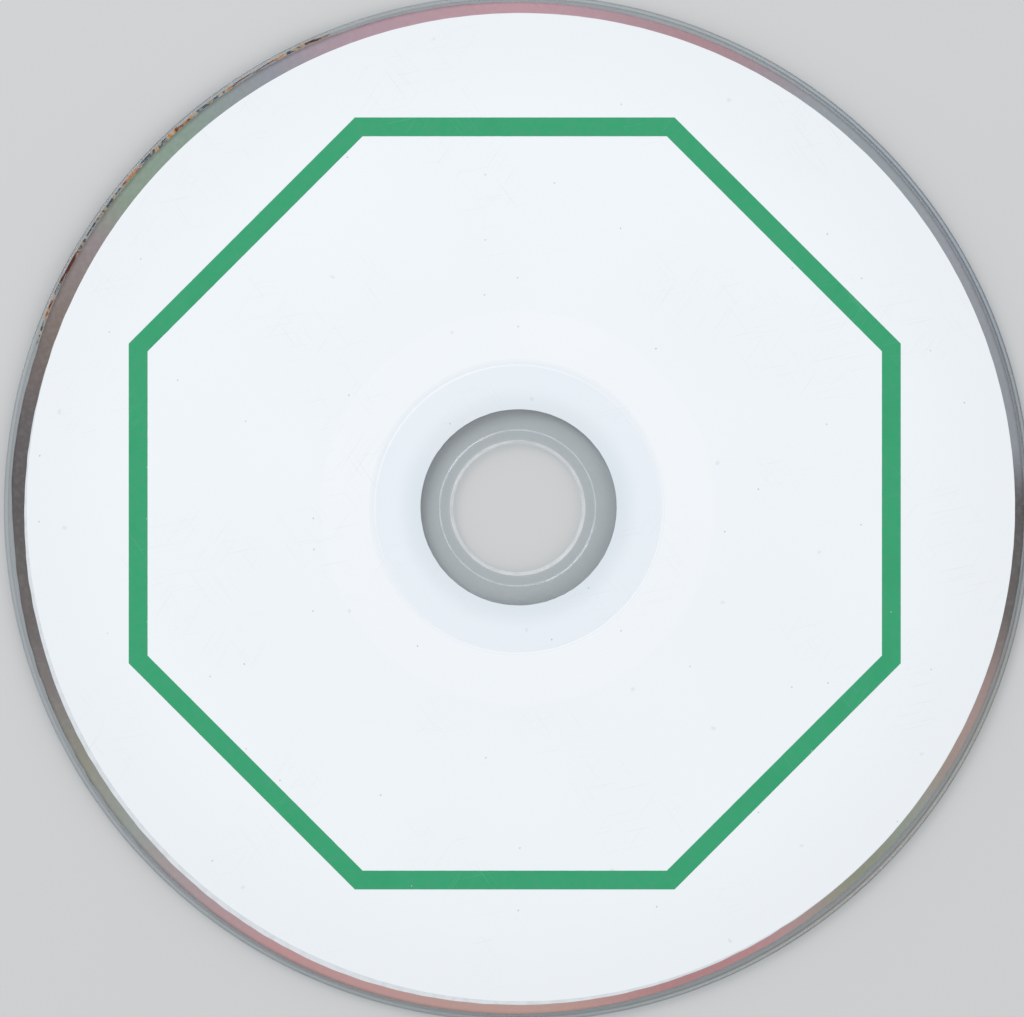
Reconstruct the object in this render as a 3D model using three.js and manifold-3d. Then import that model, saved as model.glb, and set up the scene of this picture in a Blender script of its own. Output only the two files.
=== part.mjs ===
// A compact disc that lies flat with its label side up, in millimetres, +Z up.
// The origin is on the disc's axis, in the plane that its stacking ring stands on.
// Every round size of the hub is built outwards from the hole, and every edge of
// the layers is built inwards from the rim, so each zone follows its neighbour.

import * as THREE from 'three';
import { mergeVertices } from 'three/addons/utils/BufferGeometryUtils.js';
import Module from 'manifold-3d';

// The moulded disc
const DISC_DIAMETER = 120;
const DISC_THICKNESS = 1.2;
const RIM_CHAMFER = 0.2;
const HOLE_DIAMETER = 15;
const HOLE_CHAMFER = 0.35;

// The fine ring that the gate cutter leaves in the clear hub
const GATE_RING_FROM_HOLE = 1.6;
const GATE_RING_WIDTH = 0.3;
const GATE_RING_DEPTH = 0.08;

// The moulding groove in the label side, outside the clamping zone
const PRINT_FROM_HOLE = 3.94;
const CLAMP_ZONE_WIDTH = 5.16;
const GROOVE_WIDTH = 0.44;
const GROOVE_DEPTH = 0.12;
const GROOVE_FLANK = 0.12;

// The stacking ring on the read side
const STACK_RING_FROM_GROOVE = 0.16;
const STACK_RING_WIDTH = 0.9;
const STACK_RING_HEIGHT = 0.2;
const STACK_RING_FLANK = 0.15;

// The reflective film, whose outer edge waves a little
const FILM_THICKNESS = 0.02;
const FILM_FROM_GROOVE = 0.26;
const FILM_FROM_RIM = 0.93;
const FILM_EDGE_LOBES = 3;
const FILM_EDGE_WAVE = 0.13;
const FILM_EDGE_FIRST_DIP = 68;
const FILM_EDGE_RIPPLES = 11;
const FILM_EDGE_RIPPLE = 0.03;

// The two white coats, each printed a little off the disc's axis
const BASE_COAT_THICKNESS = 0.03;
const BASE_COAT_FROM_FILM = 1.55;
const BASE_COAT_SHIFT = new THREE.Vector2(-0.05, -0.5);
const BASE_COAT_INNER_LIP = 0.9;
const WHITE_COAT_THICKNESS = 0.03;
const WHITE_COAT_FROM_FILM = 1.39;
const WHITE_COAT_SHIFT = new THREE.Vector2(0.38, 0.08);
const WHITE_COAT_HOLE_SHIFT = new THREE.Vector2(0.12, 0.06);

// The green octagon on the top coat
const BAND_THICKNESS = 0.02;
const BAND_SIDES = 8;
const BAND_WIDTH = 2.15;
const BAND_CORNER_FROM_COAT = 8.92;
const BAND_SHIFT = new THREE.Vector2(-0.33, 0.52);

// Facets of every round edge
const FACETS = 96;

// Radii, from the axis outwards
const holeRadius = HOLE_DIAMETER / 2;
const gateRingRadius = holeRadius + GATE_RING_FROM_HOLE;
const printHoleRadius = holeRadius + PRINT_FROM_HOLE;
const grooveInnerRadius = printHoleRadius + CLAMP_ZONE_WIDTH;
const grooveOuterRadius = grooveInnerRadius + GROOVE_WIDTH;
const filmInnerRadius = grooveOuterRadius + FILM_FROM_GROOVE;
const stackRingInnerRadius = grooveOuterRadius + STACK_RING_FROM_GROOVE;
const stackRingOuterRadius = stackRingInnerRadius + STACK_RING_WIDTH;
const rimRadius = DISC_DIAMETER / 2;
const filmOuterRadius = rimRadius - FILM_FROM_RIM;
const whiteCoatRadius = filmOuterRadius - WHITE_COAT_FROM_FILM;
const baseCoatRadius = filmOuterRadius - BASE_COAT_FROM_FILM;
const bandCornerRadius = whiteCoatRadius - BAND_CORNER_FROM_COAT;

// Levels, from the surface that the disc lies on upwards
const readSide = STACK_RING_HEIGHT;
const labelSide = readSide + DISC_THICKNESS;
const filmTop = labelSide + FILM_THICKNESS;
const baseCoatTop = filmTop + BASE_COAT_THICKNESS;
const whiteCoatTop = baseCoatTop + WHITE_COAT_THICKNESS;

const manifold = await Module();
manifold.setup();

function material(colour, roughness, metalness) {
  return new THREE.MeshStandardMaterial({ color: colour, roughness, metalness });
}

function closedMesh(geometry) {
  geometry.deleteAttribute('normal');
  geometry.deleteAttribute('uv');
  return mergeVertices(geometry);
}

function toSolid(geometry) {
  const merged = closedMesh(geometry);
  return new manifold.Manifold(new manifold.Mesh({
    numProp: 3,
    vertProperties: new Float32Array(merged.attributes.position.array),
    triVerts: new Uint32Array(merged.index.array),
  }));
}

function toGeometry(solid) {
  const mesh = solid.getMesh();
  const geometry = new THREE.BufferGeometry();
  geometry.setAttribute('position', new THREE.BufferAttribute(mesh.vertProperties, 3));
  geometry.setIndex(new THREE.BufferAttribute(mesh.triVerts, 1));
  geometry.computeVertexNormals();
  return geometry;
}

// Turns a closed section, given as [radius, height] counter-clockwise, about the axis.
function turned(section) {
  const points = [...section, section[0]].map(([r, z]) => new THREE.Vector2(r, z));
  return closedMesh(new THREE.LatheGeometry(points, FACETS).rotateX(Math.PI / 2));
}

// A flat plate between two levels, from an outline with an optional hole.
function plate(outline, hole, bottom, top) {
  const shape = new THREE.Shape(outline);
  if (hole) shape.holes.push(new THREE.Path(hole));
  const geometry = new THREE.ExtrudeGeometry(shape, { depth: top - bottom, bevelEnabled: false });
  return closedMesh(geometry.translate(0, 0, bottom));
}

// Points round a closed curve, whose radius may change with the angle.
function roundOutline(radiusAt, centre = new THREE.Vector2()) {
  return Array.from({ length: FACETS }, (_, index) => {
    const angle = index * 2 * Math.PI / FACETS;
    const radius = radiusAt(angle);
    return new THREE.Vector2(radius * Math.cos(angle), radius * Math.sin(angle)).add(centre);
  });
}

// The label side from the clamping zone to the film's inner edge, with the groove
// and the film's step in it, lifted by the given height.
function labelProfile(lift) {
  return [
    [grooveInnerRadius, labelSide + lift],
    [grooveInnerRadius + GROOVE_FLANK, labelSide - GROOVE_DEPTH + lift],
    [grooveOuterRadius - GROOVE_FLANK, labelSide - GROOVE_DEPTH + lift],
    [grooveOuterRadius, labelSide + lift],
    [filmInnerRadius, labelSide + lift],
    [filmInnerRadius, filmTop + lift],
  ];
}

// Everything that lies on the moulding and the film, up to the given height above them.
function coatingUpTo(lift) {
  return toSolid(turned([
    [holeRadius, labelSide],
    ...labelProfile(0),
    [rimRadius, filmTop],
    [rimRadius, filmTop + lift],
    ...labelProfile(lift).reverse(),
    [holeRadius, labelSide + lift],
  ]));
}

// A tall ring that cuts one coat's outline out of the coating.
function coatCutter(outerRadius, centre, innerRadius, holeCentre) {
  const outline = roundOutline(() => outerRadius, centre);
  const hole = roundOutline(() => innerRadius, holeCentre);
  return toSolid(plate(outline, hole, 0, whiteCoatTop + DISC_THICKNESS));
}

function makeDisc() {
  const gateHalf = GATE_RING_WIDTH / 2;
  return turned([
    [holeRadius + HOLE_CHAMFER, readSide],
    [stackRingInnerRadius, readSide],
    [stackRingInnerRadius + STACK_RING_FLANK, 0],
    [stackRingOuterRadius - STACK_RING_FLANK, 0],
    [stackRingOuterRadius, readSide],
    [rimRadius - RIM_CHAMFER, readSide],
    [rimRadius, readSide + RIM_CHAMFER],
    [rimRadius, labelSide - RIM_CHAMFER],
    [rimRadius - RIM_CHAMFER, labelSide],
    [grooveOuterRadius, labelSide],
    [grooveOuterRadius - GROOVE_FLANK, labelSide - GROOVE_DEPTH],
    [grooveInnerRadius + GROOVE_FLANK, labelSide - GROOVE_DEPTH],
    [grooveInnerRadius, labelSide],
    [gateRingRadius + gateHalf, labelSide],
    [gateRingRadius, labelSide - GATE_RING_DEPTH],
    [gateRingRadius - gateHalf, labelSide],
    [holeRadius + HOLE_CHAMFER, labelSide],
    [holeRadius, labelSide - HOLE_CHAMFER],
    [holeRadius, readSide + HOLE_CHAMFER],
  ]);
}

function makeFilm() {
  const firstDip = THREE.MathUtils.degToRad(FILM_EDGE_FIRST_DIP);
  const outerRadiusAt = (angle) => filmOuterRadius
    - FILM_EDGE_WAVE * Math.cos(FILM_EDGE_LOBES * (angle - firstDip))
    + FILM_EDGE_RIPPLE * Math.sin(FILM_EDGE_RIPPLES * angle);
  const outline = roundOutline(outerRadiusAt);
  const hole = roundOutline(() => filmInnerRadius);
  return plate(outline, hole, labelSide, filmTop);
}

function baseCoatSolid() {
  const innerRadius = printHoleRadius + BASE_COAT_INNER_LIP;
  const cutter = coatCutter(baseCoatRadius, BASE_COAT_SHIFT, innerRadius, BASE_COAT_SHIFT);
  return coatingUpTo(BASE_COAT_THICKNESS).intersect(cutter);
}

// The top coat reaches over the base coat's edges down to the film and the bare hub.
function whiteCoatSolid(baseCoat) {
  const cutter = coatCutter(
    whiteCoatRadius, WHITE_COAT_SHIFT, printHoleRadius, WHITE_COAT_HOLE_SHIFT,
  );
  const coating = coatingUpTo(BASE_COAT_THICKNESS + WHITE_COAT_THICKNESS);
  return coating.intersect(cutter).subtract(baseCoat);
}

function octagon(cornerRadius) {
  return Array.from({ length: BAND_SIDES }, (_, index) => {
    const angle = (index + 0.5) * 2 * Math.PI / BAND_SIDES;
    return new THREE.Vector2(Math.cos(angle), Math.sin(angle))
      .multiplyScalar(cornerRadius).add(BAND_SHIFT);
  });
}

function makeOctagonBand() {
  const innerCornerRadius = bandCornerRadius - BAND_WIDTH / Math.cos(Math.PI / BAND_SIDES);
  return plate(
    octagon(bandCornerRadius), octagon(innerCornerRadius),
    whiteCoatTop, whiteCoatTop + BAND_THICKNESS,
  );
}

function addPiece(group, name, geometry, finish) {
  const piece = new THREE.Mesh(geometry, finish);
  piece.name = name;
  group.add(piece);
}

const clear = material(0xdfe4e6, 0.08, 0);
clear.transparent = true;
clear.opacity = 0.35;

const baseCoat = baseCoatSolid();

const disc = new THREE.Group();
addPiece(disc, 'polycarbonate_disc', makeDisc(), clear);
addPiece(disc, 'reflective_layer', makeFilm(), material(0xb4b1b2, 0.25, 1));
addPiece(disc, 'base_coat', toGeometry(baseCoat), material(0xdbe1e5, 0.6, 0));
addPiece(disc, 'white_coat', toGeometry(whiteCoatSolid(baseCoat)), material(0xf0f5f9, 0.5, 0));
addPiece(disc, 'octagon_band', makeOctagonBand(), material(0x41a378, 0.5, 0));

export default disc;
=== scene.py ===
"""A compact disc that lies flat with its label side up, in metres with +Z up.

The frame's solids give every place and outline. The pieces made here are finer meshes of them,
and slivers of film. The stage is a pale floor with soft lamps and a camera straight above.
"""

import math

import bpy
import numpy as np
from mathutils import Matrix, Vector


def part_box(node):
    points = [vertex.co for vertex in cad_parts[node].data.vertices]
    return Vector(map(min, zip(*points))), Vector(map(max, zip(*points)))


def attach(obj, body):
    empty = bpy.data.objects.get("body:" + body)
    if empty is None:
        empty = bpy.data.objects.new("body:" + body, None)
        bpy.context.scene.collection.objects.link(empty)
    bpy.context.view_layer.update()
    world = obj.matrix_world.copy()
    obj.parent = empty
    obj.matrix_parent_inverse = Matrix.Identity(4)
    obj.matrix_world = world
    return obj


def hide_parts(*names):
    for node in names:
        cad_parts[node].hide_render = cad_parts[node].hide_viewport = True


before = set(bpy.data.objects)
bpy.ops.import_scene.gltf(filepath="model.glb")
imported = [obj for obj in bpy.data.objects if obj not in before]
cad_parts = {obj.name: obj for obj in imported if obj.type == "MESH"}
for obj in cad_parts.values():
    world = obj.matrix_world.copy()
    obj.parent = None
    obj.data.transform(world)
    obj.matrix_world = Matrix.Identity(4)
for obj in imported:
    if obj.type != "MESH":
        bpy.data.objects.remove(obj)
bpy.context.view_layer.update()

bl_info = {
    "name": "Compact Disc",
    "version": (1, 0, 0),
    "blender": (4, 5, 0),
    "location": "View3D > Sidebar > Disc",
    "description": "Dresses a compact disc in fine meshes and procedural materials",
    "category": "Add Mesh",
}

MM = 0.001
# The rim's radius and the heights of the disc's surfaces, from the frame
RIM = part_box("polycarbonate_disc")[1].x
LABEL_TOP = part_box("polycarbonate_disc")[1].z
FILM_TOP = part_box("reflective_layer")[1].z
BASE_COAT_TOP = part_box("base_coat")[1].z
WHITE_COAT_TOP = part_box("white_coat")[1].z
BAND_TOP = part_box("octagon_band")[1].z


def display(red, green, blue):
    """A colour as a screen shows it, from 0 to 255, in the linear values that shaders take."""
    shares = (red / 255, green / 255, blue / 255)
    return tuple(s / 12.92 if s <= 0.04045 else ((s + 0.055) / 1.055) ** 2.4 for s in shares)


def length(name, description, millimetres):
    """A length property, written in millimetres and kept in metres."""
    return bpy.props.FloatProperty(
        name=name, description=description, default=millimetres * MM, unit="LENGTH", precision=5
    )


def amount(name, description, value):
    """A plain number property."""
    return bpy.props.FloatProperty(name=name, description=description, default=value)


def count(name, description, value):
    """A whole number property."""
    return bpy.props.IntProperty(name=name, description=description, default=value, min=1)


def direction(name, description, degrees):
    """A direction about the axis, written in degrees from the right, counter-clockwise."""
    return bpy.props.FloatProperty(
        name=name, description=description, default=math.radians(degrees), subtype="ANGLE"
    )


def colour(name, description, value):
    """A colour property, in linear values."""
    return bpy.props.FloatVectorProperty(
        name=name, description=description, default=value, subtype="COLOR", size=3, min=0, max=1
    )


class DiscSizes(bpy.types.PropertyGroup):
    """Sizes of the disc's fine forms. Its outlines and levels come from the frame."""

    facets: count("Facets", "Facets round the disc, a multiple of 16", 1440)
    hole_radius: length("Hole radius", "Wall of the centre hole", 7.5)
    hole_chamfer: length("Hole chamfer", "Chamfer on both edges of the centre hole", 0.35)
    rim_chamfer: length("Rim chamfer", "Chamfer on both edges of the rim", 0.2)
    disc_thickness: length("Disc thickness", "From the read side to the label side", 1.2)
    gate_ring_radius: length("Gate ring radius", "Fine ring in the hub", 9.1)
    gate_ring_width: length("Gate ring width", "Width of the fine ring", 0.3)
    gate_ring_depth: length("Gate ring depth", "Depth of the fine ring", 0.08)
    groove_inner_radius: length("Groove inner radius", "Inner edge of the groove", 16.6)
    groove_outer_radius: length("Groove outer radius", "Outer edge of the groove", 17.04)
    groove_depth: length("Groove depth", "Depth of the groove", 0.12)
    groove_flank: length("Groove flank", "Width of each sloping wall", 0.12)
    groove_fill: amount("Groove fill", "Share of its depth that the first coat fills", 0.65)
    stack_ring_inner_radius: length("Stacking ring, inner", "Inner foot of the ring", 17.2)
    stack_ring_outer_radius: length("Stacking ring, outer", "Outer foot of the ring", 18.1)
    stack_ring_flank: length("Stacking ring flank", "Width of each sloping wall", 0.15)
    film_inner_radius: length("Film inner radius", "Inner edge of the reflective film", 17.3)
    film_from_rim: length("Film from rim", "Mean bare width between the film and the rim", 0.93)
    base_inner_radius: length("Base coat inner radius", "Inner edge of the first coat", 12.34)
    print_hole_radius: length("Print hole radius", "Inner edge of the top coat", 11.44)
    print_hole_x: length("Print hole X", "Its centre, to the right of the axis", 0.12)
    print_hole_y: length("Print hole Y", "Its centre, above the axis", 0.06)
    band_width: length("Band width", "Width of the octagon's line", 2.2)
    ink_shoulder: length("Ink shoulder", "Width over which an ink's edge rounds off", 0.03)
    corner_rounding: length("Corner rounding", "Rounding of the moulding's edges", 0.04)
    bond_gap: length("Bond gap", "Gap between the moulding and its coatings", 0.004)


class EdgeSettings(bpy.types.PropertyGroup):
    """How far each edge of the film and the inks wanders from a true line."""

    film_fray: length("Film fray", "Fine fray of the film's outer edge", 0.022)
    film_fray_peak: amount("Film fray peak", "How many times stronger it is at its worst", 4.0)
    film_fray_worst: direction("Film fray worst", "Where the film's edge frays most", 214)
    base_coat_sway: length("Base coat sway", "Slow swelling of the first coat's edge", 0.04)
    base_coat_fray: length("Base coat fray", "Fine fray of the first coat's edge", 0.03)
    white_coat_fray: length("White coat fray", "Fine fray of the top coat's outer edge", 0.009)
    print_hole_fray: length("Print hole fray", "Fray of the top coat's inner edge", 0.012)
    band_fray: length("Band fray", "Fine fray of the octagon's line", 0.005)


class FlakeSettings(bpy.types.PropertyGroup):
    """The slivers of film that lie beyond its edge."""

    number: count("Number", "How many slivers there are", 104)
    seed: count("Seed", "Picks another arrangement of the slivers", 11)
    first_angle: direction("First direction", "Where the slivers begin", 112)
    last_angle: direction("Last direction", "Where the slivers end", 160)
    inner_from_rim: length("Inner, from rim", "Innermost slivers, inwards from the rim", 0.74)
    outer_from_rim: length("Outer, from rim", "Outermost slivers, inwards from the rim", 0.42)
    shortest: length("Shortest", "Length of the shortest sliver", 1.1)
    longest: length("Longest", "Length of the longest sliver", 4.0)
    slimness: amount("Slimness", "Width of a sliver as a share of its length", 0.046)
    thickness: length("Thickness", "Thickness of the thinnest sliver", 0.006)


class DiscColours(bpy.types.PropertyGroup):
    """Colours of the inks, the film and the clear plastic."""

    white_ink: colour("White ink", "Top coat over the film", display(240, 245, 249))
    # Greyer where no film lies under the ink: painted shade
    white_ink_hub: colour("White ink, hub", "Top coat where no film backs it", display(232, 239, 246))
    # Partly the single, thinner coat at the print's hole and partly painted shade
    white_ink_lip_shade: colour("White ink, lip", "Single coat at the print's hole", display(219, 228, 235))
    grey_ink: colour("Grey ink", "First, thinner coat", display(219, 225, 230))
    green_ink: colour("Green ink", "The octagon", display(42, 159, 109))
    clear: colour("Clear plastic", "Tint of the moulding", display(246, 249, 250))
    silver: colour("Silver", "The film seen from the read side", display(214, 214, 218))


class StageSettings(bpy.types.PropertyGroup):
    """The floor, the lamps and the camera."""

    floor: colour("Floor", "Colour of the floor", display(206, 207, 208))
    backdrop: colour("Backdrop", "What shows beyond the floor", display(226, 227, 229))
    sky: amount("Sky", "Brightness of the even light from all round", 0.67)
    key_power: amount("Key power", "Power of the large soft lamp, in watts", 3.9)
    fill_power: amount("Fill power", "Power of the small soft lamp, in watts", 1.2)
    focal_length: amount("Focal length", "Focal length of the lens, in millimetres", 200.0)
    view_width: length("View width", "Width of the label that the picture shows", 119.5)
    view_centre_x: length("View centre X", "Centre of the picture, to the right of the axis", -0.65)
    view_centre_y: length("View centre Y", "Centre of the picture, above the axis", -0.07)


def as_maths(operation, swapped=False):
    """A method that adds a Math node in place of one of Python's operators."""

    def method(self, *others):
        values = (*others, self) if swapped else (self, *others)
        return self.tree.maths(operation, *values)

    return method


class Field:
    """One output of a node. Python's operators on it add Math nodes to its tree."""

    __add__ = as_maths("ADD")
    __radd__ = as_maths("ADD", swapped=True)
    __sub__ = as_maths("SUBTRACT")
    __rsub__ = as_maths("SUBTRACT", swapped=True)
    __mul__ = as_maths("MULTIPLY")
    __truediv__ = as_maths("DIVIDE")
    __pow__ = as_maths("POWER")
    __mod__ = as_maths("FLOORED_MODULO")
    __abs__ = as_maths("ABSOLUTE")
    __lt__ = as_maths("LESS_THAN")

    def __init__(self, tree, socket):
        self.tree = tree
        self.socket = socket

    def output(self, name):
        """Another output of the same node."""
        return Field(self.tree, self.tree.socket(self.socket.node.outputs, name))

    def between(self, low, high):
        """Rises smoothly from 0 at low to 1 at high."""
        inputs = {"Value": self, "From Min": low, "From Max": high}
        return self.tree.node("ShaderNodeMapRange", inputs, interpolation_type="SMOOTHSTEP")

    def ridge(self, centre, half_width):
        """1 at the centre and 0 beyond the half width, on either side."""
        return 1 - abs(self - centre).between(0, half_width)


class Tree:
    """A node tree that is written as expressions."""

    def __init__(self, node_tree):
        self.node_tree = node_tree
        self.node_tree.nodes.clear()

    @staticmethod
    def socket(sockets, key):
        """The socket with that number, identifier or name."""
        if isinstance(key, int):
            return sockets[key]
        return next((s for s in sockets if s.identifier == key), None) or sockets[key]

    def node(self, kind, inputs=None, output=0, **settings):
        """Adds a node with those values or links of its sockets, and those settings."""
        made = self.node_tree.nodes.new(kind)
        for name, value in settings.items():
            setattr(made, name, value)
        for key, value in (inputs or {}).items():
            self.feed(self.socket(made.inputs, key), value)
        return Field(self, self.socket(made.outputs, output)) if made.outputs else None

    def feed(self, socket, value):
        """Gives a socket its value or its link."""
        if isinstance(value, Field):
            self.node_tree.links.new(value.socket, socket)
        elif socket.type == "RGBA" and len(value) == 3:
            socket.default_value = (*value, 1)
        else:
            socket.default_value = value

    def maths(self, operation, *values):
        """A Math node on those values or links."""
        return self.node("ShaderNodeMath", dict(enumerate(values)), operation=operation)

    def vector(self, x=0.0, y=0.0, z=0.0):
        """A vector from its parts."""
        return self.node("ShaderNodeCombineXYZ", {"X": x, "Y": y, "Z": z})

    def turned(self, radius, angle, height):
        """The point with that radius, angle and height about the Z axis."""
        across = radius * self.maths("COSINE", angle)
        away = radius * self.maths("SINE", angle)
        return self.vector(across, away, height)


class Finish(Tree):
    """A procedural material. Lengths in its fields are in millimetres."""

    def __init__(self, name):
        self.material = bpy.data.materials.new(name)
        self.material.use_nodes = True
        super().__init__(self.material.node_tree)
        self.place = self.node("ShaderNodeTexCoord", output="Object")
        across = self.node("ShaderNodeSeparateXYZ", {"Vector": self.place})
        self.x = across / MM
        self.y = across.output("Y") / MM
        self.radius = self.maths("SQRT", self.x**2 + self.y**2)

    def mix(self, factor, first, second):
        """Goes from the first colour to the second as the factor rises from 0 to 1."""
        inputs = {"Factor_Float": factor, "A_Color": first, "B_Color": second}
        settings = {"data_type": "RGBA", "clamp_factor": True}
        return self.node("ShaderNodeMix", inputs, "Result_Color", **settings)

    def layers(self, tint, *coats):
        """Lays further colours over the first, each by its own weight from 0 to 1."""
        for weight, shade in coats:
            tint = self.mix(weight, tint, shade)
        return tint

    def ramp(self, place, stops):
        """Colours between stops, each a place from 0 to 1 and a colour as a screen shows it."""
        colours = self.node("ShaderNodeValToRGB", {"Fac": place})
        elements = colours.socket.node.color_ramp.elements
        while len(elements) < len(stops):
            elements.new(1)
        for element, (position, *shade) in zip(elements, stops):
            element.position = position
            element.color = (*display(*shade), 1)
        return colours

    def noise(self, size, detail=0.0, flat=True):
        """Cloudy noise with features of about that size, in millimetres."""
        inputs = {"Vector": self.place, "Scale": 1 / (size * MM), "Detail": detail}
        dimensions = "2D" if flat else "3D"
        return self.node("ShaderNodeTexNoise", inputs, noise_dimensions=dimensions)

    def hairlines(self, degrees, rarity=0.74, length=9.0, width=0.11):
        """Fine straight scratches that lie in one direction."""
        inputs = {
            "Vector": self.place,
            "Rotation": (0, 0, math.radians(degrees)),
            "Scale": (length * MM, width * MM, MM),
        }
        along = self.node("ShaderNodeMapping", inputs, vector_type="TEXTURE")
        inputs = {"Vector": along, "Scale": 1.0, "Detail": 1.0}
        streaks = self.node("ShaderNodeTexNoise", inputs, noise_dimensions="2D")
        return streaks.between(rarity, rarity + 0.05)

    def specks(self, spacing, radius, share):
        """Specks on a share of a set of scattered points. Lengths are in millimetres."""
        inputs = {"Vector": self.place, "Scale": 1 / (spacing * MM)}
        nearest = self.node("ShaderNodeTexVoronoi", inputs, voronoi_dimensions="2D")
        pick = self.node("ShaderNodeSeparateColor", {"Color": nearest.output("Color")})
        size = radius / spacing
        ragged = nearest + (self.noise(1.4 * radius) - 0.5) * size
        return (1 - ragged.between(0.4 * size, size)) * (pick < share)

    def bump(self, height, distance, strength):
        """A normal that rises with the height, by the distance in millimetres."""
        inputs = {"Strength": strength, "Distance": distance * MM, "Height": height}
        return self.node("ShaderNodeBump", inputs, "Normal")

    def principled(self, **sockets):
        """A Principled shader with those values or links."""
        inputs = {name.replace("_", " "): value for name, value in sockets.items()}
        return self.node("ShaderNodeBsdfPrincipled", inputs)

    def blend(self, factor, first, second):
        """Goes from the first shader to the second as the factor rises from 0 to 1."""
        return self.node("ShaderNodeMixShader", {"Fac": factor, 1: first, 2: second})

    def finished(self, shader):
        """Ends the material in a shader and returns the material."""
        self.node("ShaderNodeOutputMaterial", {"Surface": shader})
        return self.material


INK_GLOSS = 0.35
# Height of an ink's relief and size of its grain, in millimetres
INK_RELIEF = 0.004
GRAIN_SIZE = 0.14

# Zones of the white coat, in millimetres from the axis
LEAD_IN_EDGE = (22.7, 23.3)
THINNING_EDGE = (44, 57.6)
# The same, in millimetres outwards from the print's hole, over which its painted shade fades,
# and from the film's inner edge
LIP_SHADE = (0, 3.2)
FILM_BACKING = (-0.4, 0.2)


def ink_wear(finish):
    """Faint handling marks on an ink: hairlines in a few directions, worn in patches."""
    marks = finish.hairlines(12) + finish.hairlines(57) + finish.hairlines(126)
    return marks * finish.noise(14).between(0.45, 0.7)


def satin(finish, tint, roughness, relief):
    """Ends an ink in its satin shader, with its fine relief."""
    shader = finish.principled(
        Base_Color=tint,
        Roughness=roughness,
        Specular_IOR_Level=INK_GLOSS,
        Normal=finish.bump(relief, INK_RELIEF, 0.6),
    )
    return finish.finished(shader)


def white_ink(colours, sizes):
    """The opaque top coat: a little greyer near the hub, where no film backs it, as painted shade,
    and darker at the print's hole, partly its single coat and partly painted shade. It is a little
    thinner towards its outer edge, and the groove's walls carry a painted highlight."""
    finish = Finish("white ink")
    lip = (finish.radius - sizes.print_hole_radius / MM).between(*LIP_SHADE)
    film_backed = (finish.radius - sizes.film_inner_radius / MM).between(*FILM_BACKING)
    lead_in = film_backed * (1 - finish.radius.between(*LEAD_IN_EDGE))
    flank = sizes.groove_flank / MM
    # Where the groove's walls take a painted highlight
    inner_wall_highlight = finish.radius.ridge(sizes.groove_inner_radius / MM + flank / 2, flank)
    outer_wall_highlight = finish.radius.ridge(sizes.groove_outer_radius / MM - flank / 2, flank)
    clouds = finish.noise(26, detail=1).between(0.3, 0.7)
    wear = ink_wear(finish)
    grain = finish.noise(GRAIN_SIZE, detail=1)
    # Painted shade at the print's hole and over the hub, lifting to the ink's own white over the film
    tint = finish.layers(
        colours.white_ink_lip_shade,
        (lip, colours.white_ink_hub),
        (film_backed, colours.white_ink),
        (lead_in * 0.4, display(246, 249, 252)),
        (finish.radius.between(*THINNING_EDGE) * 0.6, display(234, 238, 243)),
        (clouds * 0.25, display(236, 241, 246)),
        # Painted highlight on the groove's walls
        ((inner_wall_highlight + outer_wall_highlight) * 0.35, display(252, 254, 255)),
        (wear * 0.2, display(190, 198, 204)),
        (finish.specks(4.0, 0.12, 0.09) * 0.6, display(150, 160, 165)),
        (finish.specks(11.0, 0.32, 0.30) * 0.2, display(176, 184, 188)),
        (grain * 0.05, display(214, 224, 232)),
    )
    return satin(finish, tint, 0.40 + grain * 0.12 - wear * 0.12, grain)


def grey_ink(colours):
    """The first coat: thin enough for the film to show through in patches."""
    finish = Finish("grey white ink")
    thin = finish.noise(1.1, detail=3).between(0.35, 0.75)
    grain = finish.noise(GRAIN_SIZE, detail=1)
    tint = finish.layers(
        colours.grey_ink,
        (thin * 0.5, display(200, 207, 211)),
        (grain * 0.08, display(190, 198, 205)),
    )
    return satin(finish, tint, 0.45 + grain * 0.12, grain)


def green_ink(colours):
    """The octagon's ink: evenly printed, with faint mottling and a few pinholes."""
    finish = Finish("green ink")
    mottle = finish.noise(0.9, detail=3).between(0.3, 0.75)
    deep = finish.noise(5.0, detail=1).between(0.5, 0.8)
    pinholes = finish.specks(3.1, 0.07, 0.10)
    grain = finish.noise(GRAIN_SIZE, detail=1)
    tint = finish.layers(
        colours.green_ink,
        (mottle * 0.45, display(66, 155, 118)),
        (deep * 0.35, display(34, 152, 102)),
        (pinholes, display(205, 236, 224)),
        (ink_wear(finish) * 0.2, display(140, 200, 172)),
    )
    return satin(finish, tint, 0.38 + grain * 0.12, grain - pinholes)


# Painted colours of the light that the film's tracks split, from its sides at 0 to its top and bottom
# at 1
UPPER_SPLIT_LIGHT = (
    (0.00, 102, 98, 99),
    (0.12, 110, 104, 104),
    (0.24, 134, 122, 115),
    (0.34, 152, 141, 142),
    (0.43, 144, 160, 144),
    (0.55, 143, 161, 150),
    (0.66, 153, 155, 163),
    (0.80, 184, 156, 166),
    (1.00, 200, 161, 169),
)
LOWER_SPLIT_LIGHT = (
    (0.00, 104, 100, 100),
    (0.14, 116, 111, 109),
    (0.24, 136, 130, 128),
    (0.34, 156, 155, 142),
    (0.45, 163, 169, 164),
    (0.56, 184, 163, 166),
    (0.70, 202, 158, 158),
    (1.00, 202, 168, 158),
)
# Painted patches of split light at the lower right: place on the same scale, half width, weight and
# tint
LOWER_RIGHT_SPLIT_LIGHT = (
    (0.28, 0.16, 0.8, 184, 158, 152),
    (0.52, 0.16, 0.8, 146, 154, 130),
    (0.79, 0.24, 0.7, 184, 134, 136),
)
# Where the film darkens towards its outer edge, in millimetres from the axis
FILM_EDGE_SHADE = (58.7, 59.3)


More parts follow.
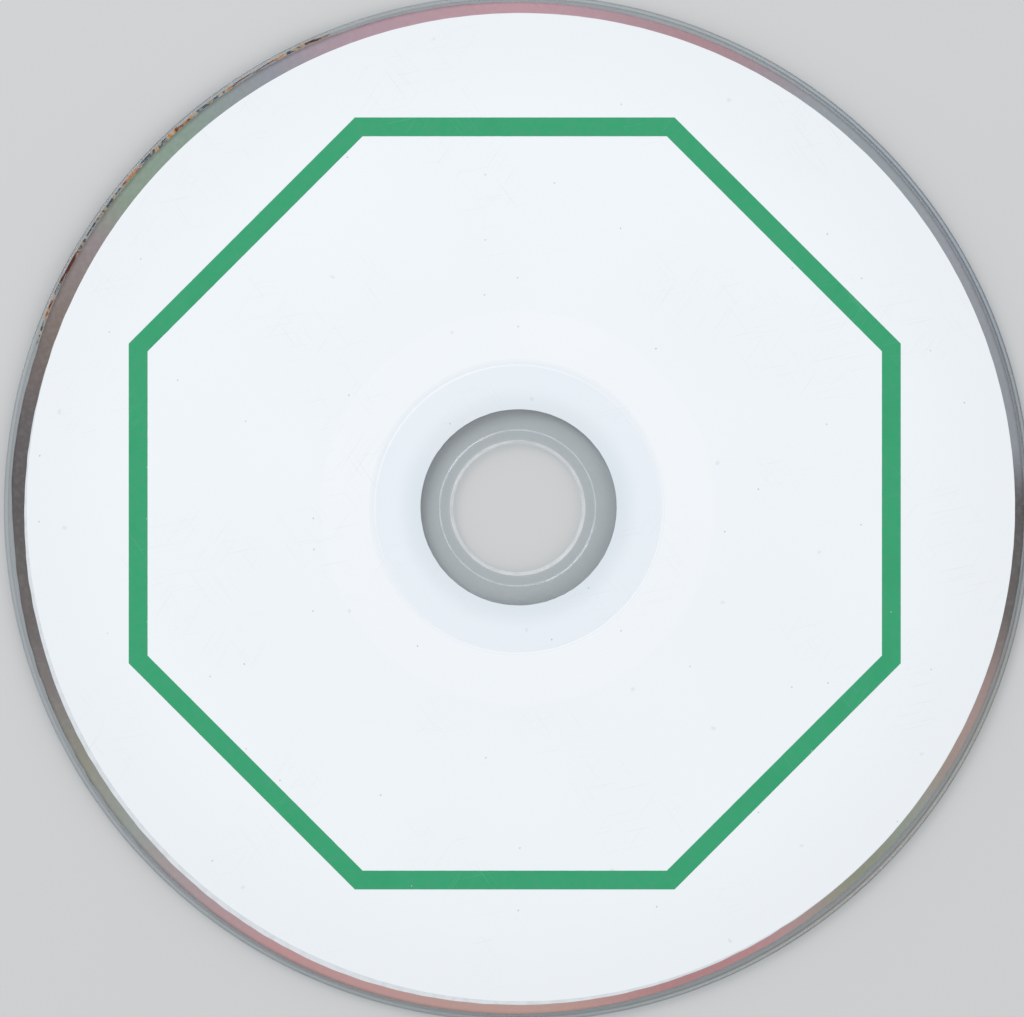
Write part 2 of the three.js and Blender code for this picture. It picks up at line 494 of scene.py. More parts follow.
def metal(finish, tint, roughness, **more):
    """Ends a material in a metal shader, with any further values or links."""
    shader = finish.principled(Base_Color=tint, Metallic=1.0, Roughness=roughness, **more)
    return finish.finished(shader)


def film_label_side():
    """The bare edge of the film, whose tracks split the light, painted into its colour: pink at the
    top and the bottom, through green and brown to grey at the sides."""
    finish = Finish("film label side")
    from_side = finish.maths("ARCTAN2", abs(finish.y), abs(finish.x)) / (math.pi / 2)
    place = from_side + (finish.noise(9, detail=1) - 0.5) * 0.06
    upper = finish.ramp(place, UPPER_SPLIT_LIGHT)
    lower = finish.ramp(place, LOWER_SPLIT_LIGHT)
    to_right = finish.x.between(-4, 20)
    upper_right = to_right * finish.y.between(0, 8)
    lower_right = to_right * (1 - finish.y.between(-8, 0))
    # Painted split light at the upper right, bluish and pink
    bluish = upper_right * (1 - from_side.between(0.55, 0.8))
    pink = upper_right * from_side.ridge(0.76, 0.20)
    patches = [
        (lower_right * from_side.ridge(centre, half_width) * weight, display(*shade))
        for centre, half_width, weight, *shade in LOWER_RIGHT_SPLIT_LIGHT
    ]
    streaks = finish.noise(0.6, detail=2)
    tint = finish.layers(
        lower,
        (finish.y.between(-8, 8), upper),
        (bluish * 0.8, display(166, 172, 180)),
        (pink * 0.8, display(184, 147, 152)),
        *patches,
        (finish.radius.between(*FILM_EDGE_SHADE) * 0.5, display(70, 68, 68)),
        (streaks.between(0.4, 0.75) * 0.05, display(206, 206, 210)),
    )
    relief = finish.bump(streaks, 0.002, 0.3)
    return metal(finish, tint, 0.28 + streaks * 0.06, Normal=relief)


RAINBOW = (
    (0.00, 214, 214, 218),
    (0.14, 150, 120, 214),
    (0.26, 96, 150, 232),
    (0.38, 108, 212, 196),
    (0.50, 150, 222, 120),
    (0.62, 234, 224, 108),
    (0.74, 240, 160, 92),
    (0.86, 222, 104, 120),
    (1.00, 214, 214, 218),
)
# Direction, number of rainbows, spread and strength of each wedge of split light
WEDGES = ((38, 2.3, 0.20, 0.75), (128, 1.6, 0.28, 0.55))
# Edges of the recorded zone, in millimetres from the axis
RECORDED_START = (22.9, 23.3)
RECORDED_END = (57.9, 58.2)


def film_read_side(colours):
    """The recorded side: mirror silver, with wedges in which the tracks split the light."""
    finish = Finish("film read side")
    after_start = finish.radius.between(*RECORDED_START)
    recorded = after_start * (1 - finish.radius.between(*RECORDED_END))
    tint = finish.mix(1 - recorded, colours.silver, display(196, 196, 202))
    angle = finish.maths("ARCTAN2", finish.y, finish.x)
    for degrees, orders, spread, strength in WEDGES:
        turn = angle - math.radians(degrees)
        along = abs(finish.maths("COSINE", turn))
        off_axis = abs(finish.maths("SINE", turn))
        wedge = 1 - off_axis.between(spread * 0.2, spread * 1.6)
        order = (finish.radius / (RIM / MM)) * along * orders % 1.0
        bands = finish.ramp(order, RAINBOW)
        tint = finish.mix(wedge * recorded * strength, tint, bands)
    tracks = finish.noise(0.35, detail=2)
    return metal(finish, tint, 0.10 + tracks * 0.08, Anisotropic=0.6)


# Painted glints on the slivers: place on the ramp and colour
FLAKE_GLINTS = (
    (0.34, 88, 52, 44),
    (0.41, 170, 150, 124),
    (0.46, 62, 70, 86),
    (0.50, 92, 92, 98),
    (0.55, 172, 164, 148),
    (0.60, 190, 126, 64),
    (0.68, 104, 62, 46),
)


def film_flake():
    """Slivers of film beyond its edge, with painted glints, brown, gold and steel grey by turns."""
    finish = Finish("film flakes")
    quick = finish.noise(0.8, detail=1)
    tint = finish.ramp(finish.noise(7.0) * 0.7 + quick * 0.3, FLAKE_GLINTS)
    return metal(finish, tint, 0.35 + quick * 0.2, Normal=finish.bump(quick, 0.006, 0.3))


# Places on the clear plastic, in millimetres from the rim, and so negative
HANDLED_EDGE = (-2, -1)
RIM_INNER_HIGHLIGHT = -0.55
RIM_OUTER_HIGHLIGHT = (-0.24, -0.14)
RIM_WALL = (-0.06, -0.03)
# The end of the cut edge, in millimetres outwards from the centre hole's wall
CUT_EDGE = (0.36, 0.44)
# Half width of the inner painted highlight line and of the ring that the gate leaves, in millimetres
LINE_HALF_WIDTH = 0.14


def clear_plastic(colours, sizes):
    """Polished polycarbonate with faint handling marks. It is frosted where a tool has cut it and
    on the rim's wall, whose grey is a painted reflection of the clear edge, and two fine lines
    along the rim are painted highlights, blue and tan as the film tints them. Light from the lamps
    and the sky passes straight through it."""
    finish = Finish("clear polycarbonate")
    from_rim = finish.radius - RIM / MM
    from_hole = finish.radius - sizes.hole_radius / MM
    handled = 1 - from_rim.between(*HANDLED_EDGE)
    marks = (finish.hairlines(33) + finish.hairlines(134)) * handled
    haze = finish.noise(3.5, detail=1, flat=False)
    relief = finish.bump(haze, 0.001, 0.2)
    # Painted highlights along the rim, tinted blue at the upper right and tan at the lower right,
    # stronger to the right
    blue = finish.x.between(18, 50) * finish.y.between(2, 25)
    tan = finish.x.between(10, 40) * (1 - finish.y.between(-25, -4))
    highlight_tint = finish.mix(blue, display(186, 190, 193), display(146, 162, 192))
    highlight_tint = finish.mix(tan, highlight_tint, display(208, 184, 156))
    lines = from_rim.ridge(RIM_INNER_HIGHLIGHT, LINE_HALF_WIDTH) + from_rim.between(*RIM_OUTER_HIGHLIGHT)
    rim_highlights = lines * (0.35 + finish.x.between(-10, 35) * 0.65)
    glass = finish.principled(
        Base_Color=finish.mix(rim_highlights, colours.clear, highlight_tint),
        Roughness=0.015 + marks * 0.12 + haze * 0.02,
        IOR=1.585,
        Transmission_Weight=1.0,
        Normal=relief,
    )
    rim_wall = from_rim.between(*RIM_WALL)
    cut_tint = finish.mix(haze, display(222, 226, 228), display(240, 242, 243))
    # Painted reflection: the rim wall's grey stands in for what a clear edge reflects
    wall_painted_reflection = finish.mix(haze, display(166, 173, 178), display(192, 198, 202))
    frosting = finish.principled(
        Base_Color=finish.mix(rim_wall, cut_tint, wall_painted_reflection),
        Roughness=0.55 - rim_wall * 0.3,
        Normal=relief,
    )
    hole_edge = 1 - from_hole.between(*CUT_EDGE)
    gate_ring = finish.radius.ridge(sizes.gate_ring_radius / MM, LINE_HALF_WIDTH)
    worn = finish.noise(1.8, detail=1, flat=False).between(0.3, 0.7)
    frost = hole_edge * (0.5 + worn * 0.15) + gate_ring * (0.3 + worn * 0.15) + marks * 0.12
    frost = finish.maths("MAXIMUM", frost, rim_wall)
    passing = finish.node("ShaderNodeBsdfTransparent", {"Color": display(232, 236, 238)})
    shadow_ray = finish.node("ShaderNodeLightPath", output="Is Shadow Ray")
    solid = finish.blend(frost, glass, frosting)
    open_to_sky = finish.blend(shadow_ray.output("Is Diffuse Ray"), solid, passing)
    return finish.finished(finish.blend(shadow_ray, open_to_sky, passing))


# Wave of each edge: a seed, and the fewest and the most swells round the disc
FILM_FRAY = (5, 24, 130)
BASE_COAT_SWAY = (22, 5, 24)
BASE_COAT_FRAY = (21, 24, 150)
WHITE_COAT_FRAY = (33, 30, 150)
PRINT_HOLE_FRAY = (34, 12, 70)
BAND_OUTER_FRAY = (41, 60, 200)
BAND_INNER_FRAY = (42, 60, 200)


def directions(facets):
    """Angles of the facets' corners round the disc, in radians."""
    return np.arange(facets) * (2 * np.pi / facets)


def wander(angles, height, seed, lowest, highest):
    """A smooth random wave round the disc, from a few harmonics, up to about that height."""
    random = np.random.default_rng(seed)
    wave = np.zeros_like(angles)
    for harmonic in range(lowest, highest):
        phase = random.uniform(0, 2 * np.pi)
        wave += np.sin(harmonic * angles + phase) * random.uniform(0.3, 1.0)
    return height * wave / math.sqrt(highest - lowest)


def offset_circle(angles, centre, radius):
    """Distance from the axis to a circle whose centre lies a little off it."""
    along = centre[0] * np.cos(angles) + centre[1] * np.sin(angles)
    across = centre[0] * np.sin(angles) - centre[1] * np.cos(angles)
    return along + np.sqrt(radius**2 - across**2)


def node_circle(node):
    """The centre and radius of a round CAD node's outer edge, seen from above."""
    low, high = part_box(node)
    return (low.xy + high.xy) / 2, (high.x - low.x) / 2


def closed_ring(name, materials, stations, angles, centre=(0, 0)):
    """A mesh from stations in counter-clockwise section order, each a radius and a height in
    every direction, joined round the ring and round the section."""
    radii = np.stack([np.broadcast_to(r, angles.shape) for r, _ in stations], axis=1)
    heights = np.stack([np.broadcast_to(z, angles.shape) for _, z in stations], axis=1)
    across = centre[0] + radii * np.cos(angles)[:, None]
    away = centre[1] + radii * np.sin(angles)[:, None]
    points = np.stack([across, away, heights], axis=-1)
    here = np.arange(radii.size).reshape(radii.shape)
    ahead = np.roll(here, -1, axis=0)
    corners = [here, ahead, np.roll(ahead, -1, axis=1), np.roll(here, -1, axis=1)]
    faces = np.stack(corners, axis=-1).reshape(-1, 4)
    mesh = bpy.data.meshes.new(name)
    mesh.from_pydata(points.reshape(-1, 3).tolist(), [], faces.tolist())
    mesh.polygons.foreach_set("use_smooth", [True] * len(faces))
    for material in materials:
        mesh.materials.append(material)
    return place(name, mesh)


def place(name, data):
    """Puts a mesh, lamp or camera in the scene as an object at the origin."""
    piece = bpy.data.objects.new(name, data)
    bpy.context.scene.collection.objects.link(piece)
    return piece


def declare(piece, slot, *nodes):
    """Says what a piece rides on and the nodes that it stands for. Its slot is not used."""
    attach(piece, "root")
    if nodes:
        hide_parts(*nodes)


def rounded_edge(radius, inwards, low, high, shoulder, steps=4):
    """The edge of an ink or film, from its foot up to its full height, as it rounds off.
    Inwards is 1 at an outer edge, where the ink lies towards the axis, and -1 at an inner one."""
    turns = np.linspace(0, math.pi / 2, steps + 1)
    curve = [
        (radius - inwards * shoulder * (1 - math.cos(t)), low + (high - low) * math.sin(t))
        for t in turns
    ]
    return curve + [(radius - inwards * 2.5 * shoulder, high)]


def label_height(radius, sizes, fill=0.0):
    """Height of the surface under the coats, with the groove and the film. Fill is the share of
    the groove's depth that ink has filled."""
    groove_floor = LABEL_TOP - sizes.groove_depth * (1 - fill)
    knots = (
        (sizes.print_hole_radius / 2, LABEL_TOP),
        (sizes.groove_inner_radius, LABEL_TOP),
        (sizes.groove_inner_radius + sizes.groove_flank, groove_floor),
        (sizes.groove_outer_radius - sizes.groove_flank, groove_floor),
        (sizes.groove_outer_radius, LABEL_TOP),
        (sizes.film_inner_radius - sizes.ink_shoulder, LABEL_TOP),
        (sizes.film_inner_radius + sizes.ink_shoulder, FILM_TOP),
        (RIM, FILM_TOP),
    )
    return float(np.interp(radius, *zip(*knots)))


def coat_radii(sizes):
    """Radii at which a coat's surface needs a row of points, from the hub outwards."""
    near = sizes.ink_shoulder
    inner = sizes.groove_inner_radius
    film = sizes.film_inner_radius
    groove = np.linspace(inner - near, sizes.groove_outer_radius + near, 13)
    step = np.linspace(film - 2 * near, film + 2 * near, 5)
    return [inner - 8 * near, *groove, *step, film + 8 * near]


def moulding_section(sizes):
    """The clear moulding's section as corners in metres, counter-clockwise, radius and height."""
    low = LABEL_TOP - sizes.disc_thickness
    high = LABEL_TOP - sizes.bond_gap
    gate_half = sizes.gate_ring_width / 2
    groove_floor = high - sizes.groove_depth
    return [
        (sizes.hole_radius + sizes.hole_chamfer, low),
        (sizes.stack_ring_inner_radius, low),
        (sizes.stack_ring_inner_radius + sizes.stack_ring_flank, 0),
        (sizes.stack_ring_outer_radius - sizes.stack_ring_flank, 0),
        (sizes.stack_ring_outer_radius, low),
        (RIM - sizes.rim_chamfer, low),
        (RIM, low + sizes.rim_chamfer),
        (RIM, high - sizes.rim_chamfer),
        (RIM - sizes.rim_chamfer, high),
        (sizes.groove_outer_radius, high),
        (sizes.groove_outer_radius - sizes.groove_flank, groove_floor),
        (sizes.groove_inner_radius + sizes.groove_flank, groove_floor),
        (sizes.groove_inner_radius, high),
        (sizes.gate_ring_radius + gate_half, high),
        (sizes.gate_ring_radius, high - sizes.gate_ring_depth),
        (sizes.gate_ring_radius - gate_half, high),
        (sizes.hole_radius + sizes.hole_chamfer, high),
        (sizes.hole_radius, high - sizes.hole_chamfer),
        (sizes.hole_radius, low + sizes.hole_chamfer),
    ]


def round_corners(corners, rounding, steps=4):
    """Replaces each corner of a closed section by a short curve, with a point on either side of
    it that keeps the flat faces flat."""
    section = []
    for index, corner in enumerate(corners):
        here = Vector(corner)
        before = Vector(corners[index - 1]) - here
        after = Vector(corners[(index + 1) % len(corners)]) - here
        reach = min(rounding, 0.35 * before.length, 0.35 * after.length)
        start = here + before.normalized() * reach
        end = here + after.normalized() * reach
        section.append(here + before.normalized() * min(2.2 * reach, 0.45 * before.length))
        for step in range(steps + 1):
            share = step / steps
            section.append(start.lerp(here, share).lerp(here.lerp(end, share), share))
        section.append(here + after.normalized() * min(2.2 * reach, 0.45 * after.length))
    return section


SOCKET_KINDS = {int: "Int", float: "Float", bpy.types.Material: "Material"}


def grow(name, mesh, build, values):
    """Makes geometry nodes with an input for each value, runs them on a mesh and keeps the result
    as a plain mesh."""
    node_tree = bpy.data.node_groups.new(name, "GeometryNodeTree")
    sockets = node_tree.interface
    sockets.new_socket("Geometry", in_out="INPUT", socket_type="NodeSocketGeometry")
    names = {}
    for label, value in values.items():
        kind = "NodeSocket" + SOCKET_KINDS[type(value)]
        names[label] = sockets.new_socket(label, in_out="INPUT", socket_type=kind).identifier
    sockets.new_socket("Geometry", in_out="OUTPUT", socket_type="NodeSocketGeometry")
    tree = Tree(node_tree)
    given = tree.node("NodeGroupInput")
    plain = tree.node("GeometryNodeRealizeInstances", {"Geometry": build(tree, given)})
    inputs = {"Geometry": plain, "Material": given.output("material")}
    dressed = tree.node("GeometryNodeSetMaterial", inputs)
    tree.node("NodeGroupOutput", {"Geometry": dressed})
    seedling = place(name + " seedling", mesh)
    modifier = seedling.modifiers.new(name, "NODES")
    modifier.node_group = node_tree
    for label, value in values.items():
        modifier[names[label]] = value
    depsgraph = bpy.context.evaluated_depsgraph_get()
    grown = bpy.data.meshes.new_from_object(seedling.evaluated_get(depsgraph))
    grown.name = name
    seedling.modifiers.clear()
    bpy.data.objects.remove(seedling)
    return place(name, grown)


def turn_section(tree, given):
    """Turns a section, given as points in the XZ plane, about the Z axis."""
    facets = given.output("facets")
    count = tree.node("GeometryNodeAttributeDomainSize", {"Geometry": given}, component="MESH")
    rows = count + 1
    grid = tree.node("GeometryNodeMeshGrid", {"Vertices X": facets + 1, "Vertices Y": rows})
    index = tree.node("GeometryNodeInputIndex")
    row = index % rows
    column = tree.maths("FLOOR", (index + 0.5) / rows)
    position = tree.node("GeometryNodeInputPosition")
    inputs = {"Geometry": given, "Value": position, "Index": row % count}
    spot = tree.node("GeometryNodeSampleIndex", inputs, data_type="FLOAT_VECTOR")
    across = tree.node("ShaderNodeSeparateXYZ", {"Vector": spot})
    turned = tree.turned(across, column * (2 * math.pi) / facets, across.output("Z"))
    moved = tree.node("GeometryNodeSetPosition", {"Geometry": grid, "Position": turned})
    sewn = tree.node("GeometryNodeMergeByDistance", {"Geometry": moved, "Distance": 1e-7})
    return tree.node("GeometryNodeSetShadeSmooth", {"Geometry": sewn})


CHIP_CORNERS = 9
CHIP_PLIES = (1.0, 4.0)
# How far a chip may turn away from the rim's direction, either way, in radians
CHIP_TURN = 0.035


def strew_chips(tree, given):
    """Strews thin flat chips along an arc about the Z axis."""

    def random(low, high, offset):
        inputs = {"Min_001": low, "Max_001": high, "Seed": given.output("seed") + offset}
        return tree.node("FunctionNodeRandomValue", inputs, "Value_001", data_type="FLOAT")

    angle = random(given.output("first_angle"), given.output("last_angle"), 0)
    radius = random(given.output("inner_radius"), given.output("outer_radius"), 1)
    size = random(given.output("shortest"), given.output("longest"), 2)
    turn = angle + random(-CHIP_TURN, CHIP_TURN, 3) + math.pi / 2
    plies = random(*CHIP_PLIES, 4)
    thickness = given.output("thickness")
    spot = tree.turned(radius, angle, given.output("bottom") + thickness * plies / 2)
    points = {"Count": given.output("number"), "Position": spot}
    chip = {"Vertices": CHIP_CORNERS, "Radius": 0.5, "Depth": thickness}
    inputs = {
        "Points": tree.node("GeometryNodePoints", points),
        "Instance": tree.node("GeometryNodeMeshCylinder", chip),
        "Rotation": tree.vector(z=turn),
        "Scale": tree.vector(size, size * given.output("slimness"), plies),
    }
    return tree.node("GeometryNodeInstanceOnPoints", inputs)


class DISC_OT_moulding(bpy.types.Operator):
    """Makes the clear moulded disc by turning its section about the axis"""

    bl_idname = "disc.moulding"
    bl_label = "Clear moulding"

    def execute(self, context):
        sizes = context.scene.disc_sizes
        section = round_corners(moulding_section(sizes), sizes.corner_rounding)
        mesh = bpy.data.meshes.new("moulding section")
        mesh.from_pydata([(point.x, 0, point.y) for point in section], [], [])
        material = clear_plastic(context.scene.disc_colours, sizes)
        values = {"facets": sizes.facets // 2, "material": material}
        piece = grow("clear_moulding", mesh, turn_section, values)
        declare(piece, "clear_polycarbonate", "polycarbonate_disc")
        return {"FINISHED"}


# Knots of the film's outer edge: direction in degrees, and millimetres out from the mean edge
FILM_EDGE = (
    *((0, 0.08), (24, 0.06), (50, 0.06), (68, -0.12), (84, -0.08)),
    *((100, 0.06), (116, 0.18), (136, 0.19), (156, 0.17), (164, -0.08)),
    *((176, 0.10), (184, -0.22), (196, 0.02), (216, 0.08), (232, 0.08)),
    *((268, 0.05), (284, -0.16), (296, -0.26), (320, -0.26), (340, -0.03)),
)
# Turns, in degrees, over which the knots are averaged so that the edge runs smoothly
SMOOTHING = (-2, -1, 0, 1, 2)
# The higher this is, the narrower the stretch where the edge frays most
FRAY_FOCUS = 24


def film_edge(angles, sizes, edges):
    """Radius of the film's outer edge, which swells and dips slowly and has a fine fray that is
    stronger in one direction."""
    knots, offsets = zip(*FILM_EDGE)
    turns = [
        np.interp(np.degrees(angles) + turn, knots, offsets, period=360) for turn in SMOOTHING
    ]
    slow = np.mean(turns, axis=0) * MM
    nearness = np.maximum(np.cos(angles - edges.film_fray_worst), 0) ** FRAY_FOCUS
    fray = edges.film_fray * (1 + (edges.film_fray_peak - 1) * nearness)
    return RIM - sizes.film_from_rim + slow + fray * wander(angles, 1, *FILM_FRAY)


class DISC_OT_film(bpy.types.Operator):
    """Makes the reflective film, with its own finish on the read side"""

    bl_idname = "disc.film"
    bl_label = "Reflective film"

    def execute(self, context):
        sizes = context.scene.disc_sizes
        angles = directions(sizes.facets)
        outer = film_edge(angles, sizes, context.scene.disc_edges)
        inner = sizes.film_inner_radius
        shoulder = sizes.ink_shoulder / 2
        stations = [
            (inner + shoulder, LABEL_TOP),
            (outer - shoulder, LABEL_TOP),
            *rounded_edge(outer, 1, LABEL_TOP, FILM_TOP, shoulder),
            *reversed(rounded_edge(inner, -1, LABEL_TOP, FILM_TOP, shoulder)),
        ]
        finishes = (film_label_side(), film_read_side(context.scene.disc_colours))
        piece = closed_ring("film", finishes, stations, angles)
        for polygon in piece.data.polygons:
            polygon.material_index = 1 if polygon.normal.z < -0.5 else 0
        declare(piece, "aluminium_film", "reflective_layer")
        return {"FINISHED"}


class DISC_OT_film_flakes(bpy.types.Operator):
    """Strews the slivers of film that lie beyond its edge at the upper left"""

    bl_idname = "disc.film_flakes"
    bl_label = "Film flakes"

    def execute(self, context):
        flakes = context.scene.disc_flakes
        names = "number seed first_angle last_angle shortest longest slimness thickness"
        values = {name: getattr(flakes, name) for name in names.split()}
        values["inner_radius"] = RIM - flakes.inner_from_rim
        values["outer_radius"] = RIM - flakes.outer_from_rim
        values["bottom"] = LABEL_TOP
        values["material"] = film_flake()
        piece = grow("film_flakes", bpy.data.meshes.new("seed"), strew_chips, values)
        declare(piece, "aluminium_film")
        return {"FINISHED"}


class DISC_OT_base_coat(bpy.types.Operator):
    """Makes the first white coat, which peeks out at the lower left"""

    bl_idname = "disc.base_coat"
    bl_label = "Base coat"

    def execute(self, context):
        sizes = context.scene.disc_sizes
        angles = directions(sizes.facets)
        centre, radius = node_circle("base_coat")
        edges = context.scene.disc_edges
        outer = offset_circle(angles, centre, radius)
        outer = outer + wander(angles, edges.base_coat_sway, *BASE_COAT_SWAY)
        outer = outer + wander(angles, edges.base_coat_fray, *BASE_COAT_FRAY)
        inner = offset_circle(angles, centre, sizes.base_inner_radius)
        lift = BASE_COAT_TOP - FILM_TOP
        shoulder = sizes.ink_shoulder
        inner_edge = rounded_edge(inner, -1, LABEL_TOP, LABEL_TOP + lift, shoulder)
        outer_edge = rounded_edge(outer, 1, FILM_TOP, BASE_COAT_TOP, shoulder)
        radii = coat_radii(sizes)
        stations = [
            *[(r, label_height(r, sizes)) for r in radii],
            *outer_edge,
            *[(r, label_height(r, sizes, sizes.groove_fill) + lift) for r in reversed(radii)],
            *reversed(inner_edge),
        ]
        ink = grey_ink(context.scene.disc_colours)
        piece = closed_ring("base_coat_print", (ink,), stations, angles)
        declare(piece, "grey_white_ink", "base_coat")
        return {"FINISHED"}


class DISC_OT_white_coat(bpy.types.Operator):
    """Makes the opaque top coat, which laps over the base coat's edges"""

    bl_idname = "disc.white_coat"
    bl_label = "White coat"

    def execute(self, context):
        sizes = context.scene.disc_sizes
        angles = directions(sizes.facets)
        centre, radius = node_circle("white_coat")
        base_centre, base_radius = node_circle("base_coat")
        base_outer = offset_circle(angles, base_centre, base_radius)
        base_inner = offset_circle(angles, base_centre, sizes.base_inner_radius)
        edges = context.scene.disc_edges
        outer = offset_circle(angles, centre, radius)
        outer = outer + wander(angles, edges.white_coat_fray, *WHITE_COAT_FRAY)
        hole_centre = (sizes.print_hole_x, sizes.print_hole_y)
        inner = offset_circle(angles, hole_centre, sizes.print_hole_radius)
        inner = inner + wander(angles, edges.print_hole_fray, *PRINT_HOLE_FRAY)
        base_lift = BASE_COAT_TOP - FILM_TOP
        lift = WHITE_COAT_TOP - FILM_TOP
        shoulder = sizes.ink_shoulder
        lap = np.minimum(base_outer, outer - shoulder)
        foot = np.where(outer > base_outer, FILM_TOP, BASE_COAT_TOP)
        rows = [(r, label_height(r, sizes, sizes.groove_fill)) for r in coat_radii(sizes)]
        stations = [
            (base_inner - shoulder, LABEL_TOP),
            (base_inner, LABEL_TOP + base_lift),
            *[(r, z + base_lift) for r, z in rows],
            (lap - shoulder, BASE_COAT_TOP),
            (lap, foot),
            *rounded_edge(outer, 1, foot, WHITE_COAT_TOP, shoulder),
            *[(r, z + lift) for r, z in reversed(rows)],
            *reversed(rounded_edge(inner, -1, LABEL_TOP, LABEL_TOP + lift, shoulder)),
        ]
        ink = white_ink(context.scene.disc_colours, sizes)
        piece = closed_ring("white_coat_print", (ink,), stations, angles)
        declare(piece, "white_ink", "white_coat")
        return {"FINISHED"}


def octagon_radius(angles, apothem):
    """Distance from the centre to the side of a regular octagon with level and upright sides."""
    side = np.round(angles / (np.pi / 4)) * (np.pi / 4)
    return apothem / np.cos(angles - side)


class DISC_OT_octagon(bpy.types.Operator):
    """Makes the green octagon on the top coat"""

    bl_idname = "disc.octagon"
    bl_label = "Octagon band"

    def execute(self, context):
        sizes = context.scene.disc_sizes
        angles = directions(sizes.facets)
        centre, apothem = node_circle("octagon_band")
        fray = context.scene.disc_edges.band_fray
        side = octagon_radius(angles, apothem)
        outer = np.minimum(side + wander(angles, fray, *BAND_OUTER_FRAY), side)
        inner = octagon_radius(angles, apothem - sizes.band_width)
        inner = inner + wander(angles, fray, *BAND_INNER_FRAY)
        shoulder = sizes.ink_shoulder
        stations = [
            *rounded_edge(outer, 1, WHITE_COAT_TOP, BAND_TOP, shoulder),
            *reversed(rounded_edge(inner, -1, WHITE_COAT_TOP, BAND_TOP, shoulder)),
        ]
        ink = green_ink(context.scene.disc_colours)
        piece = closed_ring("octagon_print", (ink,), stations, angles, centre)
        declare(piece, "green_ink", "octagon_band")
        return {"FINISHED"}


def add_lamp(name, position, size, power):
    """A square soft lamp that points at the disc."""
    data = bpy.data.lights.new(name, "AREA")
    data.size = size
    data.energy = power
    lamp = place(name, data)
    lamp.location = position
    lamp.rotation_euler = (-Vector(position)).to_track_quat("-Z", "Y").to_euler()


def seen_rays(tree):
    """1 on rays that come from the camera, also by way of a mirror or through glass."""
    camera_ray = tree.node("ShaderNodeLightPath", output="Is Camera Ray")
    mirrored = camera_ray.output("Is Glossy Ray")
    return camera_ray + mirrored + camera_ray.output("Is Transmission Ray")


def light_world(settings):
    """An even pale sky, which shows as a paler backdrop to the camera and in reflections."""
    world = bpy.data.worlds.new("soft sky")
    world.use_nodes = True
    bpy.context.scene.world = world
    tree = Tree(world.node_tree)
    even = {"Color": (1, 1, 1), "Strength": settings.sky}
    sky = tree.node("ShaderNodeBackground", even)
    paler = {"Color": settings.backdrop, "Strength": 1.0}
    backdrop = tree.node("ShaderNodeBackground", paler)
    both = tree.node("ShaderNodeMixShader", {"Fac": seen_rays(tree), 1: sky, 2: backdrop})
    tree.node("ShaderNodeOutputWorld", {"Surface": both})


# Half the floor's width and its level, in metres
FLOOR_HALF = 2.5
FLOOR_LEVEL = -0.01 * MM
# Where the floor passes into the backdrop, in millimetres from the axis
FLOOR_FADE = (250, 1300)


def add_floor(settings):
    """A wide pale floor just under the disc's stacking ring. Far from the disc it passes into
    the backdrop."""
    mesh = bpy.data.meshes.new("floor")
    signs = ((-1, -1), (1, -1), (1, 1), (-1, 1))
    corners = [(FLOOR_HALF * x, FLOOR_HALF * y, FLOOR_LEVEL) for x, y in signs]
    mesh.from_pydata(corners, [], [(0, 1, 2, 3)])
    floor = place("floor", mesh)
    finish = Finish("pale floor")
    mottle = finish.noise(40, detail=1)
    tint = finish.mix(mottle * 0.12, settings.floor, display(196, 197, 199))
    near = finish.principled(Base_Color=tint, Roughness=0.7)
    far = finish.node("ShaderNodeEmission", {"Color": settings.backdrop, "Strength": 1.0})
    fade = finish.radius.between(*FLOOR_FADE) * seen_rays(finish)
    floor.data.materials.append(finish.finished(finish.blend(fade, near, far)))


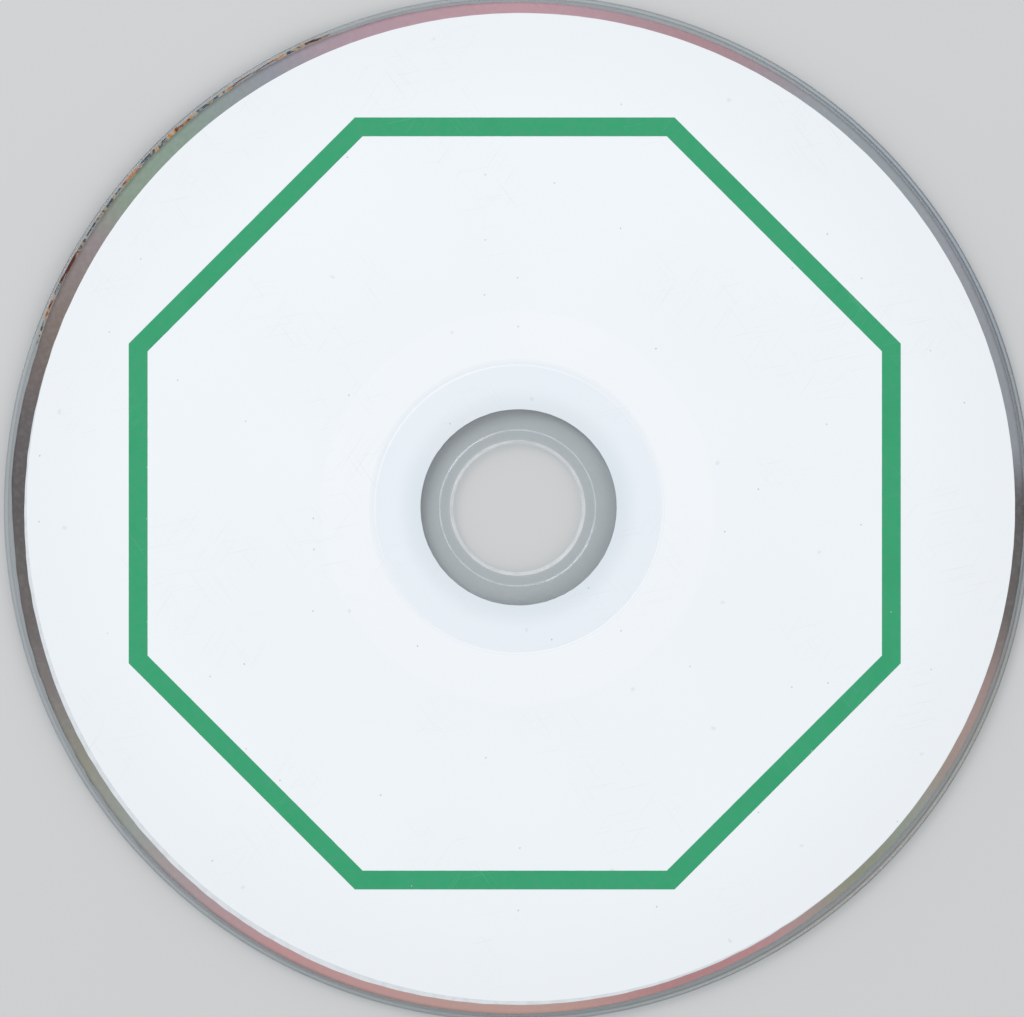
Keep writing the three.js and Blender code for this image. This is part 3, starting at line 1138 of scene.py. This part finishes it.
def add_camera(settings, target_height):
    """A long lens straight above the disc, framed as wide as the label shows."""
    data = bpy.data.cameras.new("camera")
    data.sensor_width = 36
    data.lens = settings.focal_length
    data.clip_start = 0.01
    data.clip_end = 20
    distance = settings.view_width * data.lens / data.sensor_width
    camera = place("camera", data)
    camera.location = (settings.view_centre_x, settings.view_centre_y, target_height + distance)
    bpy.context.scene.camera = camera


class DISC_OT_stage(bpy.types.Operator):
    """Makes the floor, the lamps, the sky and the camera"""

    bl_idname = "disc.stage"
    bl_label = "Stage"

    def execute(self, context):
        settings = context.scene.disc_stage
        context.scene.view_settings.view_transform = "Standard"
        add_camera(settings, WHITE_COAT_TOP)
        add_floor(settings)
        light_world(settings)
        add_lamp("key lamp", (-0.45, 0.5, 0.75), 0.6, settings.key_power)
        add_lamp("fill lamp", (0.7, -0.35, 0.6), 0.5, settings.fill_power)
        return {"FINISHED"}


PIECES = (
    DISC_OT_moulding,
    DISC_OT_film,
    DISC_OT_film_flakes,
    DISC_OT_base_coat,
    DISC_OT_white_coat,
    DISC_OT_octagon,
    DISC_OT_stage,
)


class DISC_PT_panel(bpy.types.Panel):
    """Lists the disc's sizes, colours and pieces"""

    bl_idname = "DISC_PT_panel"
    bl_label = "Compact disc"
    bl_space_type = "VIEW_3D"
    bl_region_type = "UI"
    bl_category = "Disc"

    def draw(self, context):
        layout = self.layout
        for operator in PIECES:
            layout.operator(operator.bl_idname)
        scene = context.scene
        for group in GROUPS:
            settings = getattr(scene, group)
            box = layout.box()
            for name in settings.bl_rna.properties.keys():
                if name not in ("rna_type", "name"):
                    box.prop(settings, name)


GROUPS = {
    "disc_sizes": DiscSizes,
    "disc_edges": EdgeSettings,
    "disc_flakes": FlakeSettings,
    "disc_colours": DiscColours,
    "disc_stage": StageSettings,
}


def register():
    for name, group in GROUPS.items():
        bpy.utils.register_class(group)
        setattr(bpy.types.Scene, name, bpy.props.PointerProperty(type=group))
    for entry in (*PIECES, DISC_PT_panel):
        bpy.utils.register_class(entry)


def unregister():
    for entry in (DISC_PT_panel, *reversed(PIECES)):
        bpy.utils.unregister_class(entry)
    for name, group in GROUPS.items():
        delattr(bpy.types.Scene, name)
        bpy.utils.unregister_class(group)


def main():
    register()
    for operator in PIECES:
        group, name = operator.bl_idname.split(".")
        getattr(getattr(bpy.ops, group), name)()


if __name__ == "__main__":
    main()
